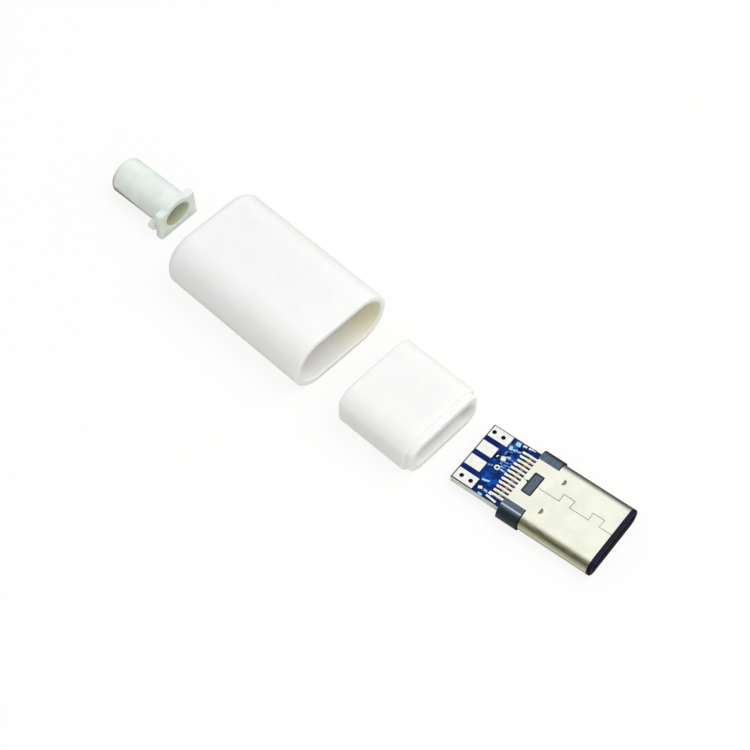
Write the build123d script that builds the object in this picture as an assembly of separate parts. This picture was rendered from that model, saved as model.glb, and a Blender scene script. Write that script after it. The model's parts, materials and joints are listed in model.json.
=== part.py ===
from build123d import *
import os

# A reversible cable plug taken apart and laid in a row: strain relief, housing, collar, connector.
# X runs along the row towards the mating end, Z is up. Millimetres and degrees.

# Metal shell: one folded sheet, racetrack section, seam on the top face
shell_width = 8.25
shell_height = 2.4
shell_sheet = 0.2
exposed_length = 6.75
corner_cut_length = 2.3
corner_cut_from_middle = 2.7
window_from_back = 0.58
window_length = 1.12
window_width = 2.55
window_corner = 0.15
window_notch_length = 0.15
window_notch_width = 0.25
seam_gap = 0.05
seam_tab_starts = (2.45, 5.8)
seam_tab_length = 1.2
seam_tab_depth = 0.9
seam_tab_flare = 0.05
dimple_radius = 0.35
dimple_depth = 0.08
dimple_from_back = 3.3
dimple_from_middle = 1.95

# Insulators: the rear one holds the contacts and fills the cut corners, the nose frames the mouth
insulator_clearance = 0.03
rear_insulator_length = 4.4
insulator_joint_gap = 0.1
clip_proud = 0.2
clip_overhang = 0.1
boss_inset = 0.05
nose_lip = 0.4
nose_edge = 0.1
nose_side_wall = 0.675
tongue_slot_height = 0.95
tongue_slot_lead = 0.12
nose_skin = 0.06
channel_clearance = 0.04
channel_front_wall = 1.05

# Contacts: two mirrored rows of stamped strips
contacts_per_row = 12
contact_pitch = 0.5
contact_width = 0.25
contact_sheet = 0.12
contact_clearance = 0.02
contact_reach = 0.1
contact_spring_length = 3.6
contact_tip_length = 0.4
contact_tip_lift = 0.22
contact_jog_start = 0.3
contact_jog_length = 0.7
tail_length = 1.45

# Latch plate: flat spring between the rows, with an arm on each side of the tongue slot
latch_sheet = 0.2
latch_clearance = 0.03
latch_back = 0.6
latch_web_length = 1.0
latch_web_width = 5.2
latch_tongue_length = 3.2
latch_arm_width = 0.28
latch_from_front = 0.9
latch_hook_reach = 0.22
latch_hook_length = 0.6

# Ground springs: a thin plate above and below the nose, with fingers through its windows
spring_sheet = 0.08
spring_clearance = 0.02
spring_from_joint = 0.9
spring_width = 5.2
spring_fingers = 4
spring_finger_pitch = 1.6
spring_finger_width = 0.7
spring_finger_length = 0.6
spring_window_margin = 0.05
spring_reach = 0.08

# Circuit board with four solder pads for the cable, the outer two with two wire holes each
board_length = 5.75
board_width = 7.3
board_thickness = 0.8
board_gap = 0.1
pad_sheet = 0.05
pad_edge = 0.05
outer_pad_length = 2.35
outer_pad_width = 1.38
inner_pad_length = 1.88
inner_pad_width = 1.33
wire_hole_diameter = 0.45
wire_hole_pitch = 1.05
near_hole_from_back = 0.8
far_hole_from_back = 0.5

# Outer housing: moulded sleeve with an end wall
housing_length = 18.9
housing_width = 12.6
housing_height = 6.65
housing_wall = 0.75
housing_end_wall = 0.9
housing_back_round = 1.0
housing_mouth_chamfer = 0.15
stop_rib_height = 0.7
stop_rib_width = 1.0

# Inner collar: slides into the housing's mouth and holds the shell
collar_length = 8.6
collar_clearance = 0.05
collar_side_cut = 0.4
collar_corner_round = 0.9
collar_edge_chamfer = 0.2
collar_shoulder = 0.65
collar_lip_length = 0.75
collar_lip_inset = 0.4
collar_hole_clearance = 0.08
collar_cavity_clearance = 0.12

# Strain relief: soft sleeve for the cable, its plate and ears stay inside the housing's end wall
relief_length = 8.0
relief_diameter = 4.1
relief_bore = 2.4
relief_end_round = 0.5
relief_plate_top_width = 4.9
relief_plate_foot_width = 5.2
relief_plate_top = 1.5
relief_plate_thickness = 0.8
relief_plate_round = 0.15
relief_ear_width = 6.0
relief_ear_height = 1.0
relief_ear_length = 0.7
relief_ear_drop = 0.4
relief_seat_clearance = 0.05
relief_mouth_width = 3.2
relief_mouth_height = 2.5
relief_mouth_depth = 1.4

# How the pieces lie on the table: gaps along the row, sideways offsets and turns
relief_to_housing = 5.1
housing_to_collar = 5.0
collar_to_board = 2.8
relief_offset = 0.4
housing_offset = -0.85
collar_offset = -1.9
connector_offset = -0.6
relief_turn = -0.8
housing_turn = -2.7
collar_turn = -1.8
connector_turn = 4.0

# Sizes that follow from the ones above
covered_length = collar_lip_length + collar_shoulder + collar_clearance + corner_cut_length
shell_length = covered_length + exposed_length - nose_lip
insulator_width = shell_width - 2 * (shell_sheet + insulator_clearance)
insulator_height = shell_height - 2 * (shell_sheet + insulator_clearance)
clip_width = shell_width + 2 * clip_proud
nose_back = rear_insulator_length + insulator_joint_gap
spring_room_bottom = insulator_height / 2 - spring_sheet - spring_clearance / 2
channel_top = spring_room_bottom - nose_skin
tongue_slot_width = shell_width - 2 * nose_side_wall
channel_end = shell_length - channel_front_wall
tail_level = board_thickness / 2 + contact_sheet / 2
seat_level = channel_top - contact_clearance - contact_sheet / 2
touch_level = tongue_slot_height / 2 - contact_reach + contact_sheet / 2
spring_level = insulator_height / 2 - spring_sheet / 2
latch_arm_middle = tongue_slot_width / 2 + latch_clearance + latch_arm_width / 2
latch_arm_end = shell_length - latch_from_front
bore_width = housing_width - 2 * housing_wall
bore_height = housing_height - 2 * housing_wall
collar_height = bore_height - 2 * collar_clearance
collar_width = bore_width - 2 * (collar_clearance + collar_side_cut)
board_back = -board_gap - board_length


def slot_bar(start, end, width, height):
    """A bar along X with a racetrack section."""
    section = Plane.YZ.offset(start) * SlotOverall(width, height)
    return extrude(section, end - start)


def block(start, end, width, bottom, top, middle=0.0):
    """A box given by its two ends along X, its width about a middle, and its two levels."""
    centre = Pos((start + end) / 2, middle, (bottom + top) / 2)
    return centre * Box(end - start, width, top - bottom)


def bent_strip(path, sheet, width, middle=0.0):
    """A strip of sheet that follows (x, z) points, half the sheet on each side, corners mitred."""
    points = [Vector(x, z) for x, z in path]
    runs = [(b - a).normalized() for a, b in zip(points, points[1:])]
    sides = []
    for before, after in zip([runs[0]] + runs, runs + [runs[-1]]):
        across = (before + after).normalized().rotate(Axis.Z, 90)
        sides.append(across * (sheet / 2 / across.dot(before.rotate(Axis.Z, 90))))
    upper = [p + s for p, s in zip(points, sides)]
    lower = [p - s for p, s in zip(points, sides)]
    profile = Plane.XZ * make_face(Polyline(*upper, *reversed(lower), close=True))
    return Pos(0, middle, 0) * extrude(profile, width / 2, both=True)


def flipped(shape):
    """The same piece turned half a turn about the plug's axis."""
    return Rot(180, 0, 0) * shape


def contact_row():
    """The y of each contact in a row."""
    first = -(contacts_per_row - 1) / 2 * contact_pitch
    return [first + i * contact_pitch for i in range(contacts_per_row)]


def contact_path():
    """Solder tail on the board, jog inside the insulator, then a spring arm with a raised tip."""
    touch = channel_end - contact_tip_length - contact_sheet
    jog_end = contact_jog_start + contact_jog_length
    return [
        (-tail_length, tail_level),
        (contact_jog_start, tail_level),
        (jog_end, seat_level),
        (touch - contact_spring_length, seat_level),
        (touch, touch_level),
        (touch + contact_tip_length, touch_level + contact_tip_lift),
    ]


def contact(middle):
    """One contact of the upper row."""
    return bent_strip(contact_path(), contact_sheet, contact_width, middle)


def contact_passage(middle):
    """The room for one contact in the rear insulator."""
    grown = 2 * contact_clearance
    return bent_strip(contact_path(), contact_sheet + grown, contact_width + grown, middle)


def seam_path():
    """The seam's (x, y) corners from the window to the front edge, with two flared tabs."""
    front_of_window = window_from_back + window_length
    path = [(front_of_window, 0)]
    for start in seam_tab_starts:
        back = front_of_window + start
        front = back + seam_tab_length
        path.append((back, 0))
        path.append((back - seam_tab_flare, seam_tab_depth))
        path.append((front + seam_tab_flare, seam_tab_depth))
        path.append((front, 0))
    path.append((shell_length, 0))
    return path


def seam_cut():
    """A narrow slit through the top of the shell, along the seam and behind the window."""
    slit = block(0, window_from_back, seam_gap, shell_height / 4, shell_height)
    path = seam_path()
    for (x0, y0), (x1, y1) in zip(path, path[1:]):
        run = Vector(x1 - x0, y1 - y0)
        middle = Pos((x0 + x1) / 2, (y0 + y1) / 2, shell_height / 2)
        turned = Rot(0, 0, run.get_signed_angle(Vector(1, 0), Vector(0, 0, -1)))
        slit += middle * turned * Box(run.length + seam_gap, seam_gap, shell_height / 2)
    return slit


def window():
    """The opening in both faces of the shell, corners rounded, with a notch in its back edge."""
    opening = RectangleRounded(window_length, window_width, window_corner)
    middle = window_from_back + window_length / 2
    cut = Pos(middle, 0, -shell_height) * extrude(opening, 2 * shell_height)
    notch_back = window_from_back - window_notch_length
    return cut + block(notch_back, middle, window_notch_width, 0, shell_height)


def dimple(middle):
    """A half-moon stamped into the top of the shell, its straight side towards the back."""
    disc = Pos(dimple_from_back, middle, shell_height / 2) * Cylinder(dimple_radius, 2 * dimple_depth)
    ahead = block(dimple_from_back, shell_length, 4 * dimple_radius, 0, shell_height, middle)
    return disc & ahead


def metal_shell():
    """Folded sheet tube with cut rear corners, a window on both faces, seam and dimples."""
    shell = slot_bar(0, shell_length, shell_width, shell_height)
    inner_width = shell_width - 2 * shell_sheet
    inner_height = shell_height - 2 * shell_sheet
    shell -= slot_bar(0, shell_length, inner_width, inner_height)
    corner = (shell_width - corner_cut_from_middle) / 2
    for side in (-1, 1):
        middle = side * (corner_cut_from_middle + corner)
        shell -= block(0, corner_cut_length, 2 * corner, -shell_height, shell_height, middle)
    shell -= window() + seam_cut()
    for side in (-1, 1):
        shell -= dimple(side * dimple_from_middle)
    return shell


def clip(side):
    """The insulator's block in one cut corner of the shell, proud of the shell's side."""
    front = corner_cut_length - insulator_clearance
    inner = corner_cut_from_middle + insulator_clearance
    whole = slot_bar(-clip_overhang, front, clip_width, shell_height)
    width = clip_width / 2 - inner
    middle = side * (inner + width / 2)
    return whole & block(-clip_overhang, front, width, -shell_height, shell_height, middle)


def window_boss():
    """The raised block that shows in the shell's upper window."""
    grown = 2 * insulator_clearance
    section = RectangleRounded(window_length - grown, window_width - grown, window_corner)
    bottom = insulator_height / 4
    boss = extrude(section, shell_height / 2 - boss_inset - bottom)
    return Pos(window_from_back + window_length / 2, 0, bottom) * boss


def latch_plate(clearance=0.0):
    """Flat spring steel between the contact rows: web, short tongue and two hooked arms."""
    grown = 2 * clearance
    level = latch_sheet / 2 + clearance
    outer = latch_arm_middle + latch_arm_width / 2
    back = latch_back - clearance
    plate = block(back, latch_back + latch_web_length + clearance, 2 * outer + grown, -level, level)
    tongue_end = latch_back + latch_tongue_length + clearance
    plate += block(back, tongue_end, latch_web_width + grown, -level, level)
    for side in (-1, 1):
        middle = side * latch_arm_middle
        width = latch_arm_width + grown
        plate += block(back, latch_arm_end + clearance, width, -level, level, middle)
        inner = side * (latch_arm_middle - latch_arm_width / 2)
        hook = Polyline(
            (latch_arm_end, inner),
            (latch_arm_end - latch_hook_length, inner),
            (latch_arm_end - latch_hook_length / 2, inner - side * latch_hook_reach),
            close=True,
        )
        plate += Pos(0, 0, -level) * extrude(make_face(hook), 2 * level, dir=(0, 0, 1))
    return plate


def rear_insulator():
    """Moulded block around the contacts and the latch plate, with corner clips and bosses."""
    body = slot_bar(0, rear_insulator_length, insulator_width, insulator_height)
    for side in (-1, 1):
        body += clip(side)
    body += window_boss() + flipped(window_boss())
    body -= latch_plate(latch_clearance)
    for middle in contact_row():
        passage = contact_passage(middle)
        body -= passage
        body -= flipped(passage)
    return body


def finger_positions():
    """The y of each ground-spring finger."""
    first = -(spring_fingers - 1) / 2 * spring_finger_pitch
    return [first + i * spring_finger_pitch for i in range(spring_fingers)]


def ground_spring():
    """Thin plate above the nose with a row of fingers bent down to the tongue slot."""
    back = nose_back + spring_from_joint
    front = channel_end + spring_window_margin + spring_sheet
    bottom = spring_level - spring_sheet / 2
    spring = block(back, front, spring_width, bottom, bottom + spring_sheet)
    low = tongue_slot_height / 2 - spring_reach + spring_sheet / 2
    path = [
        (front - spring_sheet, spring_level),
        (front, spring_level),
        (front + 0.4 * spring_finger_length, low),
        (front + 0.75 * spring_finger_length, (low + spring_level) / 2),
    ]
    for middle in finger_positions():
        spring += bent_strip(path, spring_sheet, spring_finger_width, middle)
    return spring


def spring_room():
    """Recess for the ground spring's plate and a window for each finger."""
    grown = 2 * spring_clearance
    back = nose_back + spring_from_joint - spring_clearance
    window_back = channel_end + spring_window_margin
    window_front = window_back + spring_finger_length + spring_sheet + spring_clearance
    room = block(back, window_front, spring_width + grown, spring_room_bottom, shell_height)
    for middle in finger_positions():
        room += block(window_back, window_front, spring_finger_width + grown, 0, shell_height, middle)
    return room


def front_insulator():
    """The nose: a ring round the tongue slot with contact channels, latch slots and a front lip."""
    body = slot_bar(nose_back, shell_length, insulator_width, insulator_height)
    lip = slot_bar(shell_length, shell_length + nose_lip, shell_width, shell_height)
    front_edges = lip.faces().sort_by(Axis.X)[-1].edges()
    body += chamfer(front_edges, min(nose_edge, nose_lip / 2))
    front = shell_length + nose_lip
    slot = Plane.YZ.offset(nose_back) * Rectangle(tongue_slot_width, tongue_slot_height)
    body -= extrude(slot, front - nose_back)
    mouth = body.faces().sort_by(Axis.X)[-1].inner_wires()[0]
    body = chamfer(mouth.edges(), tongue_slot_lead)
    for middle in contact_row():
        width = contact_width + 2 * channel_clearance
        body -= block(nose_back, channel_end, width, -channel_top, channel_top, middle)
    body -= spring_room() + flipped(spring_room())
    latch_front = latch_arm_end + latch_clearance
    latch_width = 2 * (latch_arm_middle + latch_arm_width / 2 + latch_clearance)
    level = latch_sheet / 2 + latch_clearance
    body -= block(nose_back, latch_front, latch_width, -level, level)
    return body


def wire_holes():
    """Four drills through the board and the outer pads."""
    drill = Cylinder(wire_hole_diameter / 2, 4 * board_thickness)
    middle = board_width / 2 - pad_edge - outer_pad_width / 2
    holes = []
    for side, first in ((-1, near_hole_from_back), (1, far_hole_from_back)):
        for step in (0, wire_hole_pitch):
            holes.append(Pos(board_back + first + step, side * middle, 0) * drill)
    return holes


def circuit_board():
    """Board between the two rows of solder tails, with its four wire holes."""
    level = board_thickness / 2
    board = block(board_back, -board_gap, board_width, -level, level)
    for hole in wire_holes():
        board -= hole
    return board


def solder_pads():
    """Four tinned pads on the board's upper face, from one side to the other."""
    bottom = board_thickness / 2
    top = bottom + pad_sheet
    start = board_back + pad_edge
    outer = board_width / 2 - pad_edge - outer_pad_width / 2
    room = board_width - 2 * (pad_edge + outer_pad_width)
    inner = (room - 2 * inner_pad_width) / 6 + inner_pad_width / 2
    sizes = (
        (-outer, outer_pad_length, outer_pad_width),
        (-inner, inner_pad_length, inner_pad_width),
        (inner, inner_pad_length, inner_pad_width),
        (outer, outer_pad_length, outer_pad_width),
    )
    pads = []
    for middle, length, width in sizes:
        pad = block(start, start + length, width, bottom, top, middle)
        for hole in wire_holes():
            pad -= hole
        pads.append(pad)
    return pads


def outer_housing():
    """Sleeve open at the mouth, end wall with a round seat, two ribs that stop the collar."""
    body = slot_bar(-housing_length, 0, housing_width, housing_height)
    body = fillet(body.faces().sort_by(Axis.X)[0].edges(), housing_back_round)
    end = -housing_length + housing_end_wall
    body -= slot_bar(end, 0, bore_width, bore_height)
    rims = body.faces().sort_by(Axis.X)[-1].edges()
    body = chamfer(rims, min(housing_mouth_chamfer, housing_wall / 4))
    seat = Plane.YZ.offset(-housing_length) * Circle(relief_diameter / 2 + relief_seat_clearance)
    body -= extrude(seat, housing_end_wall)
    rib_front = -collar_length - collar_clearance
    for side in (-1, 1):
        middle = side * (bore_width / 2 - stop_rib_height / 2 + housing_wall / 4)
        width = stop_rib_height + housing_wall / 2
        body += block(end, rib_front, width, -stop_rib_width / 2, stop_rib_width / 2, middle)
    return body


def collar_outline(inset=0.0):
    """The housing's bore less the clearance, with both ends cut flat and their corners rounded."""
    outline = SlotOverall(bore_width - 2 * (collar_clearance + inset), collar_height - 2 * inset)
    outline &= Rectangle(collar_width - 2 * inset, collar_height)
    corners = outline.vertices().sort_by(Axis.X)
    return fillet(corners[:2] + corners[-2:], collar_corner_round)


def inner_collar():
    """Collar with a stepped front lip, a racetrack hole for the shell and a cavity for the board."""
    body = extrude(Plane.YZ.offset(-collar_length) * collar_outline(), collar_length)
    ends = body.faces().sort_by(Axis.X)
    body = chamfer(ends[0].edges() + ends[-1].edges(), collar_edge_chamfer)
    lip = Plane.YZ.offset(-collar_shoulder) * collar_outline(collar_lip_inset)
    body += extrude(lip, collar_shoulder + collar_lip_length)
    hole_width = shell_width + 2 * collar_hole_clearance
    hole_height = shell_height + 2 * collar_hole_clearance
    body -= slot_bar(-collar_length, collar_lip_length, hole_width, hole_height)
    cavity_width = clip_width + 2 * collar_cavity_clearance
    cavity_height = shell_height + 2 * collar_cavity_clearance
    body -= slot_bar(-collar_length, -collar_shoulder, cavity_width, cavity_height)
    return body


def seat_plate():
    """The relief's front plate: a trapezium as low as the tube, with its top below the tube's."""
    foot = -relief_diameter / 2
    outline = Polyline(
        (relief_plate_foot_width / 2, foot),
        (relief_plate_top_width / 2, relief_plate_top),
        (-relief_plate_top_width / 2, relief_plate_top),
        (-relief_plate_foot_width / 2, foot),
        close=True,
    )
    section = make_face(outline)
    section = fillet(section.vertices(), relief_plate_round)
    return extrude(Plane.YZ.offset(-relief_plate_thickness) * section, relief_plate_thickness)


def strain_relief():
    """Tube with a rounded end, a seat plate with an ear behind each side, and an oval mouth."""
    back = Plane.YZ.offset(-relief_length)
    tube = extrude(back * Circle(relief_diameter / 2), relief_length)
    tube = fillet(tube.faces().sort_by(Axis.X)[0].edges(), relief_end_round)
    ear_back = -relief_plate_thickness - relief_ear_length
    ears = slot_bar(ear_back, -relief_plate_thickness, relief_ear_width, relief_ear_height)
    tube += seat_plate() + Pos(0, 0, -relief_ear_drop) * ears
    tube -= extrude(back * Circle(relief_bore / 2), relief_length)
    mouth = Ellipse(relief_mouth_width / 2, relief_mouth_height / 2)
    return tube - extrude(Plane.YZ.offset(-relief_mouth_depth) * mouth, relief_mouth_depth)


def connector():
    """The mating end by piece, with its mid height at zero and the shell's back edge at x = 0."""
    pieces = {
        "metal_shell": metal_shell(),
        "rear_insulator": rear_insulator(),
        "front_insulator": front_insulator(),
        "latch_plate": latch_plate(),
        "upper_ground_spring": ground_spring(),
        "lower_ground_spring": flipped(ground_spring()),
        "circuit_board": circuit_board(),
    }
    for number, middle in enumerate(contact_row(), start=1):
        pieces[f"contact_a{number}"] = contact(middle)
        pieces[f"contact_b{number}"] = flipped(contact(middle))
    for number, pad in enumerate(solder_pads(), start=1):
        pieces[f"solder_pad_{number}"] = pad
    return pieces


def laid(pieces, along, sideways, turn, height):
    """Pieces laid on the table with their middle at half their height."""
    place = Pos(along, sideways, height / 2) * Rot(0, 0, turn)
    return {name: place * shape for name, shape in pieces.items()}


def row():
    """The four groups in a line, from the cable end to the mating end."""
    housing_mouth = relief_to_housing + housing_length
    collar_front = housing_mouth + housing_to_collar + collar_length
    shell_back = collar_front + collar_lip_length + collar_to_board - board_back
    relief = {"strain_relief": strain_relief()}
    housing = {"outer_housing": outer_housing()}
    collar = {"inner_collar": inner_collar()}
    pieces = laid(relief, 0, relief_offset, relief_turn, relief_diameter)
    pieces |= laid(housing, housing_mouth, housing_offset, housing_turn, housing_height)
    pieces |= laid(collar, collar_front, collar_offset, collar_turn, collar_height)
    pieces |= laid(connector(), shell_back, connector_offset, connector_turn, shell_height)
    return pieces


def to_origin(pieces):
    """The shift that puts the middle of the row's footprint at the origin."""
    boxes = [piece.bounding_box() for piece in pieces.values()]
    whole = boxes[0]
    for box in boxes[1:]:
        whole = whole.add(box)
    return Pos(-whole.center().X, -whole.center().Y, -whole.min.Z)


pieces = row()
centred = to_origin(pieces)
os.makedirs("parts", exist_ok=True)
for name, piece in pieces.items():
    export_step(centred * piece, f"parts/{name}.step")
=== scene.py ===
"""Dresses a reversible cable plug that lies taken apart on a table, and sets the studio round it.

The CAD frame gives every place and size. Lengths are metres in the properties and millimetres in
the local frames, where X points forward, x = 0 is the front of the piece (for the connector, the
back edge of its shell) and z = 0 is the piece's mid height.
"""

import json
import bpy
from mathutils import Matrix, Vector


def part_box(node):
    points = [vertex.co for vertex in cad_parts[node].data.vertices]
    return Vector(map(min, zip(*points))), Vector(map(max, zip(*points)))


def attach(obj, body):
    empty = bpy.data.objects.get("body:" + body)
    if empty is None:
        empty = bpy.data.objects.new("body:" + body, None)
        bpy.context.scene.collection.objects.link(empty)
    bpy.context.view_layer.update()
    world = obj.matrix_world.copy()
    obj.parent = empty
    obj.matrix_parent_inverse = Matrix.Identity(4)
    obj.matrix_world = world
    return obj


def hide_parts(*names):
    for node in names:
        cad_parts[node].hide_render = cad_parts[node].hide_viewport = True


bl_info = {
    "name": "Cable plug kit",
    "version": (1, 0, 0),
    "blender": (4, 5, 0),
    "location": "3D View > Sidebar > Plug kit",
    "description": "Surfaces, finishes and studio for a cable plug laid out in four groups",
    "category": "Object",
}

from math import degrees, radians

import bmesh
import bpy
import numpy as np
from bpy.props import FloatProperty, FloatVectorProperty, PointerProperty
from mathutils import Matrix, Vector

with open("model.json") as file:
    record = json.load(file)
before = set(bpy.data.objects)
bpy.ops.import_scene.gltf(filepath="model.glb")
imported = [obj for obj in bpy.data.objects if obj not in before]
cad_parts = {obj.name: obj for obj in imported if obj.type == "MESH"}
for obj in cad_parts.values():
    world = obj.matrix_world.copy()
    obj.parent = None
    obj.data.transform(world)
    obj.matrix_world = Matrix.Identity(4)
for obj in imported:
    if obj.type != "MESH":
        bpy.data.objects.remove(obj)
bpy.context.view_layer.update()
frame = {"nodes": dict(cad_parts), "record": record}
MM = 0.001
CONTACTS = 12


# Values a user may change


def length(name, description, default):
    """A length property, given in millimetres and kept in metres."""
    return FloatProperty(name=name, description=description, default=default * MM, unit="LENGTH", precision=5)


def turn(name, description, default):
    """An angle property, given in degrees."""
    return FloatProperty(name=name, description=description, default=radians(default), subtype="ANGLE")


def number(name, description, default):
    """A plain factor from zero to one or a little more."""
    return FloatProperty(name=name, description=description, default=default, min=0.0, subtype="FACTOR")


def colour(name, description, red, green, blue):
    """A colour property, given in the 0 to 255 values of a picture and kept linear."""
    shade = np.array([red, green, blue]) / 255
    linear = np.where(shade > 0.04045, ((shade + 0.055) / 1.055) ** 2.4, shade / 12.92)
    return FloatVectorProperty(
        name=name, description=description, default=linear.tolist(), subtype="COLOR", min=0.0, max=1.0
    )


class ReliefSizes(bpy.types.PropertyGroup):
    """Strain relief: tube, seat plate, ears behind it and oval mouth."""

    turned: turn("Turn", "How far the strain relief is turned on the table", -0.8)
    long: length("Length", "From the rounded end to the seat plate's front", 8.0)
    tube: length("Tube", "Outside diameter of the tube", 4.1)
    bore: length("Bore", "Diameter of the cable bore", 2.4)
    end_round: length("End round", "Radius of the tube's rounded end", 0.5)
    plate_top_wide: length("Plate top width", "Width of the seat plate at its top", 4.9)
    plate_foot_wide: length("Plate foot width", "Width of the seat plate at its foot", 5.2)
    plate_top: length("Plate top", "Height of the seat plate's top above the axis", 1.5)
    plate_thick: length("Plate thickness", "Thickness of the seat plate", 0.8)
    ear_wide: length("Ears", "Width over both ears", 6.0)
    ear_high: length("Ear height", "Height of an ear", 1.0)
    ear_drop: length("Ear drop", "How far the ears' middle lies below the axis", 0.4)
    ear_long: length("Ear length", "Length of an ear along the tube", 0.7)
    mouth_wide: length("Mouth width", "Width of the oval mouth", 3.2)
    mouth_high: length("Mouth height", "Height of the oval mouth", 2.5)
    mouth_deep: length("Mouth depth", "Depth of the oval mouth", 1.4)
    edge: length("Edge", "Radius of the plate's and the ears' edges", 0.08)


class HousingSizes(bpy.types.PropertyGroup):
    """Outer housing: racetrack sleeve with an end wall."""

    turned: turn("Turn", "How far the housing is turned on the table", -2.7)
    long: length("Length", "From the end wall to the mouth", 18.9)
    wide: length("Width", "Outside width", 12.59)
    high: length("Height", "Outside height", 6.65)
    wall: length("Wall", "Thickness of the sleeve", 0.75)
    end_wall: length("End wall", "Thickness of the end wall", 0.9)
    back_round: length("Back round", "Radius of the outer edge at the end wall", 1.0)
    rim_round: length("Rim round", "Radius of both edges of the mouth's rim", 0.17)
    seat: length("Seat", "Diameter of the hole for the strain relief", 4.2)
    rib_high: length("Rib height", "How far a stop rib stands in from the wall", 0.7)
    rib_wide: length("Rib width", "Width of a stop rib", 1.0)
    rib_front: length("Rib front", "Distance from the mouth to the front of the ribs", 8.65)


class CollarSizes(bpy.types.PropertyGroup):
    """Inner collar: body, stepped lip, hole for the shell and cavity for the board."""

    turned: turn("Turn", "How far the collar is turned on the table", -1.8)
    long: length("Length", "Length of the collar's body", 8.6)
    wide: length("Width", "Width over the flat ends", 10.2)
    high: length("Height", "Height of the body", 5.05)
    round_wide: length("Full width", "Width that the racetrack would have without its flat ends", 11.0)
    corner: length("Corner", "Radius between the round and the flat ends", 0.9)
    edge: length("Edge", "Radius of the body's front and back edges", 0.22)
    lip_long: length("Lip length", "How far the lip stands in front of the body", 0.75)
    lip_inset: length("Lip inset", "How far the lip lies inside the body's outline", 0.4)
    lip_edge: length("Lip edge", "Radius of the lip's edge", 0.15)
    hole_wide: length("Hole width", "Width of the shell's hole", 8.41)
    hole_high: length("Hole height", "Height of the shell's hole", 2.56)
    cavity_wide: length("Cavity width", "Width of the cavity behind the hole", 8.89)
    cavity_high: length("Cavity height", "Height of the cavity behind the hole", 2.64)
    shoulder: length("Shoulder", "Depth of the cavity's front wall behind the body's front", 0.65)


class ConnectorSizes(bpy.types.PropertyGroup):
    """Connector: contact rows, tails and the edges of its stamped and moulded pieces."""

    reach: length("Reach", "From the shell's back edge to the front of the nose", 10.5)
    shell_edge: length("Shell edge", "Rounding of the shell's cut edges", 0.025)
    stamp_from_back: length("Stamp place", "From the shell's back edge to a half-moon's straight side", 3.3)
    stamp_radius: length("Stamp radius", "Radius of a half-moon", 0.35)
    stamp_level: length("Stamp level", "Height of a half-moon's floor above the shell's middle", 1.12)
    stamp_reach: length("Stamp reach", "Distance from the middle line within which the half-moons lie", 2.6)
    stamp_tilt: length("Stamp tilt", "How far a half-moon's floor climbs along its radius", 0.11)
    clip_front: length("Clip front", "From the shell's back edge to the front of a clip", 2.27)
    clip_side: length("Clip side", "From the middle line to where a clip's side turns down", 3.5)
    clip_shoulder: length("Clip shoulder", "From the middle line to the near clip's bright line", 3.42)
    boss_back: length("Boss back", "From the shell's back edge to the back of the window's block", 0.61)
    boss_front: length("Boss front", "From the shell's back edge to the block's front", 1.67)
    boss_wide: length("Boss width", "Width of the block in the window", 2.49)
    moulded_edge: length("Moulded edge", "Rounding of the insulators' edges", 0.06)
    pitch: length("Pitch", "Distance between two contacts", 0.5)
    contact_wide: length("Contact width", "Width of a contact", 0.25)
    contact_thick: length("Contact thickness", "Thickness of a contact", 0.12)
    tail_long: length("Tail length", "How far a tail reaches behind the shell", 1.45)
    tail_level: length("Tail level", "Height of a tail's middle above the board's middle", 0.46)
    seat_level: length("Seat level", "Height of a contact's middle inside the insulator", 0.74)
    touch_level: length("Touch level", "Height of a contact's middle at its touching point", 0.435)
    touch_at: length("Touch", "Distance of the touching point from the shell's back edge", 8.53)
    spring_long: length("Spring arm", "Length of a contact's sloping arm", 3.6)
    tip_long: length("Tip length", "Length of the raised tip", 0.4)
    tip_lift: length("Tip lift", "Rise of the tip", 0.22)


class BoardSizes(bpy.types.PropertyGroup):
    """Circuit board: pours, traces, rings and lands that lie on it."""

    back: length("Back", "From the shell's back edge to the board's back edge", 5.85)
    top: length("Top", "Height of the board's upper face above its middle", 0.4)
    copper: length("Copper", "How far traces and pours stand above the board", 0.035)
    trace_wide: length("Trace width", "Width of a thin trace", 0.15)
    wide: length("Width", "Width of the board", 7.3)
    land_wide: length("Land width", "Width of the tinned land under a tail", 0.31)
    land_long: length("Land length", "Length of the tinned land under a tail", 1.7)


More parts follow.
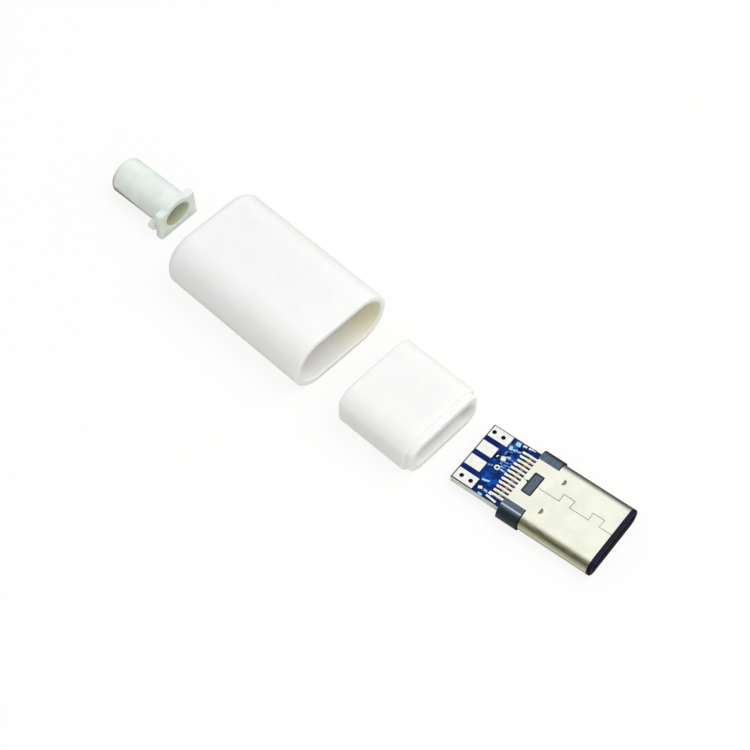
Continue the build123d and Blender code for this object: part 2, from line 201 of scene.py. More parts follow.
class FinishColours(bpy.types.PropertyGroup):
    """Colours of the mouldings, metals and board."""

    white: colour("White plastic", "Housing and collar", 251, 250, 247)
    elastomer: colour("Elastomer", "Strain relief", 236, 244, 238)
    # Painted shade: the strain relief's mouth and bore are painted this olive for the shade inside them.
    bore: colour("Elastomer bore", "Inside of the strain relief's mouth and bore", 182, 182, 140)
    # Painted shade: the tube's lower sides and the foot of its rounded end are painted this dark olive.
    under: colour("Elastomer flank", "Where the strain relief's tube turns to the table", 80, 84, 60)
    # Painted light: this tint is painted inside the housing in place of light that comes through its far end.
    painted_warm_light: colour("Warm white", "Inside of the housing, where light comes through its far end", 255, 247, 226)
    nickel: colour("Nickel", "Shell", 250, 251, 236)
    # Painted reflection: the floor of each half-moon is painted this dark tone for the dark band that it
    # would mirror.
    stamped: colour("Stamped nickel", "Floor of the half-moons, which mirrors the dark band", 150, 148, 126)
    steel: colour("Spring steel", "Latch plate and ground springs", 205, 202, 196)
    tin: colour("Tin", "Solder, pads and tails", 251, 251, 247)
    black: colour("Slate plastic", "Rear insulator with its clips", 84, 102, 120)
    # Painted shade: the clips' sides are painted this dark teal, darker than their tops, for the shade on
    # them.
    painted_side_shade: colour("Plastic flank", "The clips' sides", 30, 46, 52)
    # Painted highlight: a bright line painted along the near clip's shoulder.
    painted_glint: colour("Plastic glint", "The near clip's shoulder", 190, 196, 200)
    # Painted shade: this near black is painted on the rear insulator's forward faces, on the clips' front
    # faces and along the edges of the block in the window.
    shade: colour("Shaded plastic", "Rear insulator's edges and front faces", 14, 17, 24)
    nose: colour("Nose plastic", "Front insulator", 20, 14, 50)
    mask: colour("Solder mask", "Board between its pads", 6, 26, 88)
    pour: colour("Copper under mask", "Raised pour before the tails", 0, 78, 172)
    trace: colour("Bright trace", "Thin traces under the mask", 178, 218, 242)
    teal: colour("Thin mask", "Copper that shows through at the board's sides", 150, 210, 228)
    deep: colour("Deep teal", "Thicker mask round those places", 34, 98, 134)
    # Painted shade: near black painted on flat patches and a ring where the board has open drills and slots,
    # and on the walls inside its holes.
    drilled: colour("Drilled", "Open drills and shaded slots", 10, 12, 22)
    laminate: colour("Laminate", "The board's cut edges", 232, 238, 226)
    rim: colour("Board rim", "The face's thin margin round the pads", 52, 58, 46)
    # Residue and painted shade: this near black between the tails stands for soldering residue and for the
    # shade between them.
    flux_and_shadow: colour("Flux", "Residue between the tails", 14, 12, 12)
    solder: colour("Solder haze", "Lighter residue halfway along the tails", 150, 134, 110)


class StudioValues(bpy.types.PropertyGroup):
    """Camera, lamp, mirrored room and floor."""

    azimuth: turn("Azimuth", "Direction that the camera looks along, from +Y", 41.5)
    elevation: turn("Elevation", "Camera's height above the table as an angle", 57.0)
    distance: length("Distance", "From the camera to the point it looks at", 198.0)
    aim_x: length("Aim X", "Point on the table in the picture's middle", 2.83)
    aim_y: length("Aim Y", "Point on the table in the picture's middle", 0.41)
    lens: FloatProperty(name="Lens", description="Focal length", default=95.3, subtype="DISTANCE_CAMERA")
    sky: number("Sky", "Strength of the even light from all round", 0.66)
    key: number("Key", "Strength of the large lamp above", 0.44)
    key_wide: length("Key size", "Side of the large lamp", 400)
    key_place: FloatVectorProperty(
        name="Key place",
        description="Place of the large lamp from the point that the camera looks at",
        default=(0.2, 0.17, 0.46),
        subtype="TRANSLATION",
    )
    shadow: number("Shadow", "How much of the floor's shade the camera sees", 0.14)
    floor: colour("Floor", "The table", 238, 238, 233)
    ground: colour("Ground", "The table straight below, as gloss mirrors it", 205, 205, 192)
    table_edge: colour("Table's edge", "The table further out, as gloss mirrors it", 150, 149, 132)
    band: colour("Band", "The room's dark band round the horizon, as gloss mirrors it", 78, 76, 50)
    wall: colour("Wall", "The room's wall above the band, as gloss mirrors it", 158, 156, 134)
    ceiling: colour("Ceiling", "The soft box's rim, as gloss mirrors it", 214, 213, 200)
    lean: turn("Lean", "How far the mirrored room's band leans towards +Y", 18.5)
    open_ends: number("Open ends", "How far the band lies lower towards both ends of the plug", 0.6)


# Surfaces


def racetrack_path(width, height):
    """Arc centres, radius and normal angle at each change of a racetrack outline, from its right end."""
    radius = height / 2
    middle = (width - height) / 2
    return [
        (middle, 0, radius, 0),
        (middle, 0, radius, 90),
        (-middle, 0, radius, 90),
        (-middle, 0, radius, 270),
        (middle, 0, radius, 270),
        (middle, 0, radius, 360),
    ]


def collar_path(full_width, height, width, corner):
    """The same for a racetrack cut flat at both ends: a corner arc touches the end round and the flat."""
    radius = height / 2
    middle = (full_width - height) / 2
    y = width / 2 - corner
    z = np.sqrt((radius - corner) ** 2 - (y - middle) ** 2)
    lean = degrees(np.arctan2(z, y - middle))
    quarter = [(y, 0, corner, 0), (y, z, corner, 0), (y, z, corner, lean), (middle, 0, radius, lean)]
    quarter.append((middle, 0, radius, 90))
    upper = quarter + [(-cy, cz, r, 180 - a) for cy, cz, r, a in reversed(quarter)]
    return upper + [(cy, -cz, r, 360 - a) for cy, cz, r, a in reversed(upper)]


def bearings(angles):
    """(cos, sin) of each angle."""
    return np.stack([np.cos(angles), np.sin(angles)], 1)


def outline(path, spacing=0.1 * MM):
    """Points and outward normals of an outline: centre plus radius times (cos, sin) of the normal angle,
    where centre, radius and angle run straight from one change to the next."""
    path = np.array(path, float)
    ends = path[:, :2] + path[:, 2:3] * bearings(np.radians(path[:, 3]))
    arcs = np.radians(np.diff(path[:, 3])) * path[:-1, 2]
    runs = np.maximum(np.linalg.norm(np.diff(ends, axis=0), axis=1), np.abs(arcs))
    pieces = []
    for here, after, run in zip(path[:-1], path[1:], runs):
        if run > 1e-6:
            share = np.linspace(0, 1, max(2, int(np.ceil(run / spacing))), endpoint=False)[:, None]
            pieces.append(here + share * (after - here))
    y, z, radius, angle = np.concatenate(pieces).T
    normals = bearings(np.radians(angle))
    return np.stack([y, z], 1) + radius[:, None] * normals, normals


def polar(reach, angles):
    """Points at a reach from the axis in each direction, with the directions as their normals."""
    normals = bearings(angles)
    return reach[:, None] * normals, normals


def racetrack_reach(width, height, angles):
    """Distance from the axis to a racetrack: half height over |sin| on the flats, and on the ends
    m |cos| + root(r r - m m sin sin), with m from the axis to the end's centre."""
    radius, middle = height / 2, (width - height) / 2
    side, up = np.abs(np.cos(angles)), np.maximum(np.abs(np.sin(angles)), 1e-9)
    flat = radius / up
    bow = middle * side + np.sqrt(np.maximum(radius**2 - (middle * up) ** 2, 0))
    return np.where(flat * side <= middle, flat, bow)


def facet_reach(facets, angles, crisp=30):
    """Distance from the axis to a convex outline: (distance, normal angle) for each side, the summed
    powers of the shares cos(angle - normal) / distance under a root, which eases the corners."""
    shares = [np.maximum(np.cos(angles - normal) / away, 0) for away, normal in facets]
    return sum(share**crisp for share in shares) ** (-1 / crisp)


def bar_reach(width, height, drop, angles):
    """Distance from the axis to a bar with round ends whose middle lies lower by the drop."""
    radius = height / 2
    side, up = np.abs(np.cos(angles)), np.sin(angles)
    flat = np.where(up > 0, radius - drop, radius + drop) / np.maximum(np.abs(up), 1e-9)
    middle = width / 2 - radius
    ahead = middle * side - drop * up
    bow = ahead + np.sqrt(np.maximum(ahead**2 - middle**2 - drop**2 + radius**2, 0))
    return np.where(flat * side <= middle, flat, bow)


def oval_reach(width, height, angles):
    """Distance from the axis to an ellipse."""
    return 1 / np.sqrt((2 * np.cos(angles) / width) ** 2 + (2 * np.sin(angles) / height) ** 2)


def squared_circle(angles, crisp):
    """A circle eased towards its square: each direction over the root of |cos| and |sin| to the power
    crisp, summed."""
    reach = (np.abs(np.cos(angles)) ** crisp + np.abs(np.sin(angles)) ** crisp) ** (-1 / crisp)
    return reach[:, None] * bearings(angles)


def arc(x, inset, radius, start, end, steps=6):
    """Rounded edge as (x, inset) pairs: x plus radius cos, inset less radius sin, from start to end."""
    angle = np.radians(np.linspace(start, end, steps))
    return list(zip(x + radius * np.cos(angle), inset - radius * np.sin(angle)))


def rings(shape, rows):
    """One ring for each (x, inset) pair: the outline moved inwards by the inset, at that x."""
    points, normals = shape
    rows = np.array(rows, float)
    flat = points[None] - rows[:, 1, None, None] * normals[None]
    along = np.broadcast_to(rows[:, 0, None, None], flat.shape[:2] + (1,))
    return np.concatenate([along, flat], axis=2)


def reach_rings(rows, angles, reach):
    """One ring for each (x, inset) pair, its reach in each direction a function of the inset."""
    flats = [reach(inset)[:, None] * bearings(angles) for _, inset in rows]
    return np.stack([np.insert(flat, 0, x, axis=1) for (x, _), flat in zip(rows, flats)])


def grid_faces(rows, columns, closed_rows):
    """Quads between neighbouring rings, each ring closed, and the last ring joined to the first if asked."""
    count = rows if closed_rows else rows - 1
    i, j = np.meshgrid(np.arange(count), np.arange(columns), indexing="ij")
    below, beside = (i + 1) % rows * columns, (j + 1) % columns
    here = i * columns
    return np.stack([here + j, below + j, below + beside, here + beside], axis=2).reshape(-1, 4)


def outward(points, faces):
    """The same quads, turned over if the volume they enclose comes out negative."""
    a, b, c, d = (points[faces[:, i]] for i in range(4))
    volume = np.einsum("ij,ij->", a, np.cross(b, c)) + np.einsum("ij,ij->", a, np.cross(c, d))
    return faces if volume > 0 else faces[:, ::-1]


def headings(path):
    """Direction at each point of a path: that of the runs which meet there, summed."""
    runs = np.diff(path, axis=0)
    runs /= np.linalg.norm(runs, axis=1, keepdims=True)
    along = np.concatenate([runs[:1], runs[:-1] + runs[1:], runs[-1:]])
    return along / np.linalg.norm(along, axis=1, keepdims=True)


def strand(path, side, lift, profile):
    """A profile of (across, up) pairs carried along a path, each end closed to a point on the path."""
    path, side, lift = (np.asarray(v, float) for v in (path, side, lift))
    across, up = np.asarray(profile, float).T
    body = path[:, None] + across[None, :, None] * side[:, None] + up[None, :, None] * lift[:, None]
    middle = body.mean(axis=1, keepdims=True)
    ends = np.repeat(middle[[0, -1]], len(profile), axis=1)
    grid = np.concatenate([ends[:1], body, ends[1:]])
    points = grid.reshape(-1, 3)
    return points, outward(points, grid_faces(len(grid), len(profile), False))


def joined(parts):
    """Several (points, faces) pairs as one."""
    firsts = np.cumsum([0] + [len(points) for points, _ in parts[:-1]])
    faces = [f + first for (_, f), first in zip(parts, firsts)]
    return np.concatenate([points for points, _ in parts]), np.concatenate(faces)


def placed(points, angle, origin=(0, 0, 0)):
    """Points turned about Z by the angle and moved to the origin given."""
    c, s = np.cos(angle), np.sin(angle)
    return points @ np.array([[c, s, 0], [-s, c, 0], [0, 0, 1]]) + np.asarray(origin)


def seated(points, node):
    """Points moved so that their box has the middle and the foot of the CAD node's box."""
    low, high = (np.array(corner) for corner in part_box(node))
    move = (low + high - points.min(axis=0) - points.max(axis=0)) / 2
    move[2] = low[2] - points[:, 2].min()
    return points + move


def connector_place():
    """Turn and origin of the connector, from the mount at the front of its nose."""
    mount = next(m for m in frame["record"]["mounts"] if m["name"] == "mating_nose")
    axis = np.array(mount["axis"])
    origin = np.array(mount["pos_m"]) - axis * bpy.context.scene.plug_connector.reach
    return np.arctan2(axis[1], axis[0]), origin


def connector_point(name):
    """One of the connector's places along or across, in its local millimetres."""
    return getattr(bpy.context.scene.plug_connector, name) / MM


def dressed(piece, replaced, finishes):
    """Gives a piece its finishes and the root body, and hides the CAD nodes that it stands for."""
    for finish in finishes:
        piece.data.materials.append(finish)
    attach(piece, "root")
    if replaced:
        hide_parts(*replaced)
    return piece


def surface(name, points, faces, sharp=50):
    """A mesh object from points and quads, doubles merged, smooth up to the sharp angle."""
    mesh = bpy.data.meshes.new(name)
    mesh.from_pydata(points, [], faces)
    work = bmesh.new()
    work.from_mesh(mesh)
    bmesh.ops.remove_doubles(work, verts=work.verts, dist=2e-7)
    work.to_mesh(mesh)
    work.free()
    mesh.shade_smooth()
    mesh.set_sharp_from_angle(angle=radians(sharp))
    return linked(name, mesh)


def linked(name, data):
    """A new object in the scene."""
    holder = bpy.data.objects.new(name, data)
    bpy.context.scene.collection.objects.link(holder)
    return holder


def weighted(piece):
    """Lets the large faces set the normals, so that flats stay flat beside their rounded edges."""
    modifier = piece.modifiers.new("weighted", "WEIGHTED_NORMAL")
    modifier.mode = "FACE_AREA"
    modifier.keep_sharp = True


def sleeve(name, node, stack, turned):
    """A piece through all rings of the stack and back to the first, seated where the CAD node is, and
    the place of its finish: the turn, and the middle of the node's box."""
    grid = np.concatenate(stack)
    points = seated(placed(grid.reshape(-1, 3), turned), node)
    piece = surface(name, points, outward(points, grid_faces(*grid.shape[:2], True)))
    weighted(piece)
    low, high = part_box(node)
    return piece, (turned, tuple((low + high) / 2))


def refined(node, name, edge, segments=2, flat=radians(0.6), sharp=radians(40)):
    """A merged copy of a CAD node's mesh, its flats joined to single faces and its edges rounded."""
    mesh = frame["nodes"][node].data.copy()
    mesh.name = name
    mesh.materials.clear()
    work = bmesh.new()
    work.from_mesh(mesh)
    bmesh.ops.remove_doubles(work, verts=work.verts, dist=1e-6)
    bmesh.ops.dissolve_limit(work, angle_limit=flat, verts=work.verts, edges=work.edges)
    work.to_mesh(mesh)
    work.free()
    mesh.shade_smooth()
    mesh.set_sharp_from_angle(angle=sharp)
    piece = linked(name, mesh)
    bevel = piece.modifiers.new("edges", "BEVEL")
    bevel.width = edge
    bevel.segments = segments
    bevel.limit_method = "ANGLE"
    bevel.angle_limit = sharp
    bevel.use_clamp_overlap = True
    weighted(piece)
    return piece


# Finishes


class Graph:
    """A node tree and the steps that build it. A source is a socket or a constant."""

    def __init__(self, tree):
        self.tree = tree

    def node(self, kind, **settings):
        """A new node with its settings."""
        new = self.tree.nodes.new(kind)
        for key, value in settings.items():
            setattr(new, key, value)
        return new

    def link(self, source, target):
        """Joins two sockets."""
        self.tree.links.new(source, target)

    def feed(self, target, source):
        """Gives a socket its source."""
        if isinstance(source, bpy.types.NodeSocket):
            self.link(source, target)
        else:
            target.default_value = source

    def math(self, operation, *sources):
        """The result of a step on values."""
        step = self.node("ShaderNodeMath", operation=operation)
        for target, source in zip(step.inputs, sources):
            self.feed(target, source)
        return step.outputs[0]

    def vector(self, operation, *sources):
        """The result of a step on vectors."""
        step = self.node("ShaderNodeVectorMath", operation=operation)
        for target, source in zip(step.inputs, sources):
            self.feed(target, source)
        return step.outputs["Value" if operation in ("LENGTH", "DOT_PRODUCT") else "Vector"]

    def span(self, value, low, high, from_low=0.35, from_high=0.65):
        """A value mapped smoothly from one range to another, held at its ends. The range that it comes
        from fits a noise pattern if none is given."""
        ranged = self.node("ShaderNodeMapRange", interpolation_type="SMOOTHSTEP")
        self.link(value, ranged.inputs["Value"])
        limits = {"From Min": from_low, "From Max": from_high, "To Min": low, "To Max": high}
        for socket, limit in limits.items():
            ranged.inputs[socket].default_value = limit
        return ranged.outputs["Result"]

    def rise(self, value, start, end, top=1.0):
        """A share that climbs from zero at the start to the top at the end, in either direction."""
        return self.span(value, 0, top, start, end)

    def blend(self, share, first, second):
        """A colour between two colours, by a share."""
        mix = self.node("ShaderNodeMix", data_type="RGBA")
        self.feed(mix.inputs["Factor"], share)
        for name, source in (("A", first), ("B", second)):
            target = next(s for s in mix.inputs if s.name == name and s.type == "RGBA")
            self.feed(target, (*source, 1) if isinstance(source, tuple) else source)
        return next(s for s in mix.outputs if s.type == "RGBA")


class Finish(Graph):
    """A node material: its shader and the patterns that feed it, in the millimetres of one group,
    whose place is its turn and its origin."""

    def __init__(self, name, shade, roughness, metallic=0.0, place=(0.0, (0, 0, 0))):
        self.material = bpy.data.materials.new(name)
        self.material.use_nodes = True
        super().__init__(self.material.node_tree)
        self.shader = self.tree.nodes["Principled BSDF"]
        self.set("Base Color", (*shade, 1))
        self.set("Roughness", roughness)
        self.set("Metallic", metallic)
        self.material.diffuse_color = (*shade, 1)
        angle, origin = place
        mapping = self.node("ShaderNodeMapping", vector_type="TEXTURE")
        mapping.inputs["Location"].default_value = origin
        mapping.inputs["Rotation"].default_value = (0, 0, angle)
        mapping.inputs["Scale"].default_value = (MM, MM, MM)
        self.link(self.node("ShaderNodeTexCoord").outputs["Object"], mapping.inputs["Vector"])
        self.local = mapping.outputs["Vector"]

    def set(self, socket, value):
        """A constant on the shader's own socket."""
        self.shader.inputs[socket].default_value = value

    def paint(self, tone):
        """The surface's colour."""
        self.link(tone, self.shader.inputs["Base Color"])

    def polish(self, pattern, smooth, rough):
        """Roughness that runs between two values with a pattern."""
        self.link(self.span(pattern, smooth, rough), self.shader.inputs["Roughness"])

    def scatter(self, weight, radius, depth):
        """Light that wanders under the surface, so many millimetres deep."""
        self.set("Subsurface Weight", weight)
        self.set("Subsurface Radius", radius)
        self.set("Subsurface Scale", depth * MM)

    def noise(self, scale, detail=3.0, stretch=(1, 1, 1)):
        """Noise with so many waves per millimetre, drawn out along an axis where stretch is small."""
        texture = self.node("ShaderNodeTexNoise")
        texture.inputs["Scale"].default_value = scale
        texture.inputs["Detail"].default_value = detail
        self.link(self.vector("MULTIPLY", self.local, stretch), texture.inputs["Vector"])
        return texture.outputs["Fac"]

    def mottled(self, pattern, first, second):
        """A colour that wanders between two colours with a pattern."""
        return self.blend(self.span(pattern, 0, 1), first, second)

    def axis(self, letter, folded=False):
        """One local coordinate in millimetres, or its distance from zero."""
        parts = self.node("ShaderNodeSeparateXYZ")
        self.link(self.local, parts.inputs["Vector"])
        return self.math("ABSOLUTE", parts.outputs[letter]) if folded else parts.outputs[letter]

    def away(self, across=1.0, up=1.0, bar=0.0):
        """Distance in millimetres from a bar along Y so long to each side, each direction scaled."""
        past_bar = self.vector("SUBTRACT", self.vector("ABSOLUTE", self.local), (0, bar, 0))
        held = self.vector("MAXIMUM", past_bar, (0, 0, 0))
        return self.vector("LENGTH", self.vector("MULTIPLY", held, (0, across, up)))

    def bump(self, height, depth, strength=1.0, after=None):
        """Relief so many millimetres deep, laid over an earlier one if given."""
        relief = self.node("ShaderNodeBump")
        relief.inputs["Distance"].default_value = depth * MM
        relief.inputs["Strength"].default_value = strength
        self.link(height, relief.inputs["Height"])
        if after:
            self.link(after, relief.inputs["Normal"])
        self.link(relief.outputs["Normal"], self.shader.inputs["Normal"])
        return relief.outputs["Normal"]


def palette(*names):
    """The panel's colours of those names."""
    shades = [tuple(getattr(bpy.context.scene.plug_finish, name)) for name in names]
    return shades if len(shades) > 1 else shades[0]


def deeper(shade, share):
    """A colour multiplied by a share."""
    return tuple(c * share for c in shade)


def moulded_white(name, place, sizes, wide, wall, painted_warm_light):
    """Bright white plastic with a fine satin grain and a faint unevenness of tone. Inside its wall it
    turns to a painted light of the tint given towards the far side, in place of light that comes through."""
    shade = palette("white")
    finish = Finish(name, shade, 0.42, place=place)
    tone = finish.mottled(finish.noise(0.35), shade, deeper(shade, 0.97))
    radius, wall_mm = sizes.high / MM / 2, wall / MM
    end_face, lit_from, lit_to = -sizes.long / MM / 2, -1.5, 4
    bar = (wide - sizes.high) / MM / 2
    # Painted light: the inner face of the wall, away from the end wall, takes the painted tint more and more
    # towards +Y, where light through the far wall would fall.
    inside = finish.rise(finish.away(bar=bar), radius - wall_mm / 2, radius - wall_mm)
    inside = finish.math("MULTIPLY", inside, finish.rise(finish.axis("X"), end_face + 0.4, end_face + 0.8))
    lit = finish.rise(finish.axis("Y"), lit_from, lit_to)
    finish.paint(finish.blend(finish.math("MULTIPLY", inside, lit), tone, painted_warm_light))
    finish.polish(finish.noise(3.0), 0.36, 0.5)
    finish.bump(finish.noise(9.0, 4.0), 0.006, 0.6)
    finish.scatter(0.8, (1.0, 0.93, 0.8), 0.8)
    return finish.material


def soft_elastomer(place):
    """Milky, slightly green rubber: deep scatter, soft gloss and shallow pits, with painted shade: olive
    inside its mouth and bore, and dark where the tube turns down to the table and at its rounded end."""
    shade, bore, under = palette("elastomer", "bore", "under")
    finish = Finish("milky elastomer", shade, 0.38, place=place)
    sizes = bpy.context.scene.plug_relief
    plate_back, end_face = sizes.long / MM / 2 - 1.4, -sizes.long / MM / 2
    along = finish.axis("X")
    folded = finish.node("ShaderNodeCombineXYZ")
    for target, source in zip(folded.inputs, (along, finish.axis("Y", True), finish.axis("Z"))):
        finish.link(source, target)
    # Painted shade: the tube turns dark towards the table on both lower sides and at the foot of its rounded
    # end.
    sideways_and_down = (-0.06, 0.8, -0.6)
    turned_down = finish.vector("DOT_PRODUCT", folded.outputs[0], sideways_and_down)
    tube = finish.rise(along, plate_back, plate_back - 0.4)
    painted_side_shade = finish.math("MULTIPLY", finish.rise(turned_down, 1.5, 2.12, 0.9), tube)
    end = finish.rise(along, end_face + 0.7, end_face + 0.05, 0.75)
    end = finish.math("MULTIPLY", end, finish.rise(turned_down, -0.6, 1.6))
    # Painted shade: the mouth and the bore are painted olive for the shade inside them.
    inside = finish.away(2 * MM / sizes.mouth_wide, 2 * MM / sizes.mouth_high)
    tone = finish.mottled(finish.noise(0.5, 2.0), shade, deeper(shade, 0.93))
    for share, after in ((painted_side_shade, under), (end, under), (finish.rise(inside, 1.05, 0.97), bore)):
        tone = finish.blend(share, tone, after)
    finish.paint(tone)
    finish.polish(finish.noise(1.6), 0.3, 0.5)
    finish.bump(finish.noise(4.0, 3.0), 0.012, 0.5)
    finish.scatter(0.6, (0.85, 1.0, 0.5), 1.1)
    return finish.material


def metal_finish(name, shade, roughness, place):
    """Plated sheet: fine lines drawn along the plug, soft patches of tone and roughness."""
    finish = Finish(name, shade, roughness, 1.0, place)
    finish.paint(finish.mottled(finish.noise(0.6, 2.0), shade, deeper(shade, 0.94)))
    drawn_along = (0.06, 1, 1)
    lines = finish.noise(14.0, 3.0, drawn_along)
    finish.polish(lines, roughness * 0.8, roughness * 1.3)
    finish.bump(lines, 0.002, 0.35)
    return finish.material


def board_edges():
    """Distances of the board's back and side edges from the connector's origin, in millimetres."""
    sizes = bpy.context.scene.plug_board
    return sizes.back / MM, sizes.wide / MM / 2


def tinned(name, place):
    """Solder-coated metal: bright, pillowed and a little grainy, dark along the board's edges."""
    shade, rim = palette("tin", "rim")
    back, side = board_edges()
    finish = Finish(name, shade, 0.3, 1.0, place)
    tone = finish.mottled(finish.noise(2.2, 3.0), shade, deeper(shade, 0.93))
    tone = finish.blend(finish.rise(finish.axis("X"), 0.16 - back, 0.11 - back), tone, rim)
    tone = finish.blend(finish.rise(finish.axis("Y", True), side - 0.15, side - 0.09), tone, rim)
    finish.paint(tone)
    finish.polish(finish.noise(5.0), 0.22, 0.4)
    soft = finish.bump(finish.noise(1.3, 1.0), 0.02, 0.5)
    finish.bump(finish.noise(12.0, 2.0), 0.003, 0.4, after=soft)
    return finish.material


def black_moulding(name, shade, roughness, place, gloss=0.5, clips=False):
    """Dark glass-filled plastic with a fine grain and a broad sheen. Painted shade darkens the block in the
    window along its edges, and the clips' sides and front faces, with a painted highlight line on the near
    shoulder."""
    painted_side_shade, painted_glint, dark = palette("painted_side_shade", "painted_glint", "shade")
    finish = Finish(name, shade, roughness, place=place)
    finish.set("Specular IOR Level", gloss)
    along, across, aside = finish.axis("X"), finish.axis("Y"), finish.axis("Y", True)
    tone = finish.mottled(finish.noise(3.5, 4.0), shade, deeper(shade, 0.6))
    boss_back, boss_front = connector_point("boss_back"), connector_point("boss_front")
    boss_side = connector_point("boss_wide") / 2
    if clips:
        side, shoulder = connector_point("clip_side"), -connector_point("clip_shoulder")
        front = connector_point("clip_front")
        # Painted shade on the clips' sides and front faces, and a painted highlight along the near clip's
        # shoulder.
        sides = finish.rise(aside, side, side + 0.35)
        line = finish.rise(across, shoulder - 0.12, shoulder - 0.04)
        line = finish.math("MULTIPLY", line, finish.rise(across, shoulder + 0.12, shoulder + 0.04))
        fronts = finish.rise(along, front - 0.13, front - 0.07)
        fronts = finish.math("MULTIPLY", fronts, finish.rise(aside, 2, 2.1))
        for share, after in ((sides, painted_side_shade), (line, painted_glint), (fronts, dark)):
            tone = finish.blend(share, tone, after)
    # Painted shade along the edges of the block in the window, where it meets the window's rim.
    middle = finish.rise(aside, boss_side + 0.075, boss_side + 0.055)
    for edge in (
        finish.rise(aside, boss_side - 0.205, boss_side - 0.085),
        finish.rise(along, boss_front - 0.19, boss_front - 0.11),
        finish.rise(along, boss_back + 0.19, boss_back + 0.11),
    ):
        tone = finish.blend(finish.math("MULTIPLY", edge, middle), tone, dark)
    finish.paint(tone)
    finish.polish(finish.noise(6.0), roughness * 0.8, roughness * 1.25)
    finish.bump(finish.noise(10.0, 3.0), 0.008, 0.5)
    return finish.material


def solder_mask(place):
    """Blue lacquer over the board, dark at its rim, with residue and solder haze between the tails;
    the near-black residue is partly painted shade.
    """
    shade, pour, flux_and_shadow, haze, rim = palette("mask", "pour", "flux_and_shadow", "solder", "rim")
    back, side = board_edges()
    finish = Finish("blue solder mask", shade, 0.35, place=place)
    along, across = finish.axis("X"), finish.axis("Y", True)
    lighter = tuple(0.7 * a + 0.3 * b for a, b in zip(shade, pour))
    bare = finish.mottled(finish.noise(1.1, 3.0), shade, lighter)
    tone = bare
    # Residue and painted shade: near-black bands between the tails, near the shell and towards their ends,
    # with a lighter haze between.
    for start, end, after in ((-1.75, -1.5, flux_and_shadow), (-1.05, -0.95, haze), (-0.75, -0.62, flux_and_shadow)):
        tone = finish.blend(finish.rise(along, start, end), tone, after)
    beside_tails = finish.rise(across, 2.88, 2.96)
    behind_clips = finish.rise(along, -0.8, -0.9)
    side_rim = finish.math("MULTIPLY", finish.rise(across, side - 0.065, side - 0.05), behind_clips)
    back_rim = finish.rise(along, 0.085 - back, 0.065 - back)
    for share, after in ((beside_tails, bare), (back_rim, rim), (side_rim, rim)):
        tone = finish.blend(share, tone, after)
    finish.paint(tone)
    finish.bump(finish.noise(3.0, 3.0), 0.01, 0.4)
    finish.set("Specular IOR Level", 0.09)
    return finish.material


def lacquered(name, shade, other, place):
    """Copper under lacquer: the mask's gloss over a brighter, slightly cloudy blue."""
    finish = Finish(name, shade, 0.3, place=place)
    finish.paint(finish.mottled(finish.noise(1.8, 3.0), shade, other))
    finish.bump(finish.noise(4.0, 3.0), 0.008, 0.4)
    finish.set("Specular IOR Level", 0.12)
    return finish.material


def laminate_edge(place):
    """The cut edge of the board: pale resin with fine layers along it."""
    shade = palette("laminate")
    finish = Finish("laminate edge", shade, 0.6, place=place)
    flat_layers = (0.5, 0.5, 5.0)
    layers = finish.noise(3.0, 3.0, flat_layers)
    finish.paint(finish.mottled(layers, shade, deeper(shade, 0.7)))
    finish.bump(layers, 0.015, 0.6)
    return finish.material


# Pieces


class PLUG_OT_relief(bpy.types.Operator):
    """Strain relief: rings of a tube that swell to two ears and the seat plate, and an oval mouth"""

    bl_idname = "plug.relief"
    bl_label = "Strain relief"

    def execute(self, context):
        s = context.scene.plug_relief
        whole = np.linspace(0, 2 * np.pi, 240, endpoint=False)
        round_an_ear = np.radians(np.linspace(-34.9, 9.9, 60))
        angles = np.concatenate([whole, round_an_ear, np.pi - round_an_ear]) % (2 * np.pi)
        angles = np.unique(np.round(angles, 5))
        tube = np.full(len(angles), s.tube / 2)
        taper, tall = s.plate_foot_wide - s.plate_top_wide, s.plate_top + s.tube / 2
        lean = np.arctan2(taper / 2, tall)
        away = (s.plate_foot_wide - taper * s.tube / 2 / tall) / 2 * np.cos(lean)
        facets = [(away, lean), (s.plate_top, np.pi / 2), (away, np.pi - lean), (s.tube / 2, -np.pi / 2)]
        plate = facet_reach(facets, angles)
        ears = bar_reach(s.ear_wide, s.ear_high, s.ear_drop, angles)
        bore = polar(np.full(len(angles), s.bore / 2), angles)
        mouth = polar(oval_reach(s.mouth_wide, s.mouth_high, angles), angles)
        edge, fine = s.edge, 0.04 * MM
        plate_back = -s.plate_thick
        ear_back = plate_back - s.ear_long
        back_edge = arc(-s.long + s.end_round, s.end_round, s.end_round, 90, 180, 10)
        outside = [
            (arc(-edge, edge, edge, 0, 90), lambda inset: np.maximum(tube, plate) - inset),
            (arc(plate_back + edge, edge, edge, 90, 180), lambda inset: np.maximum(tube, plate - inset)),
            (
                arc(plate_back - edge, edge, edge, 0, 90) + arc(ear_back + edge, edge, edge, 90, 180),
                lambda inset: np.maximum(tube, ears - inset),
            ),
            ([(ear_back, 0)] + back_edge, lambda inset: tube - inset),
        ]
        stack = [
            rings(mouth, arc(-edge, -edge, edge, -90, 0)),
            *(reach_rings(rows, angles, reach) for rows, reach in outside),
            rings(bore, arc(-s.long + edge, -edge, edge, 180, 270)),
            rings(bore, [(-s.mouth_deep - fine, 0), (-s.mouth_deep, -fine)]),
            rings(mouth, [(-s.mouth_deep, fine / 2), (-s.mouth_deep + fine, 0)]),
        ]
        piece, place = sleeve("relief_sleeve", "strain_relief", stack, s.turned)
        dressed(piece, ["strain_relief"], [soft_elastomer(place)])
        return {"FINISHED"}


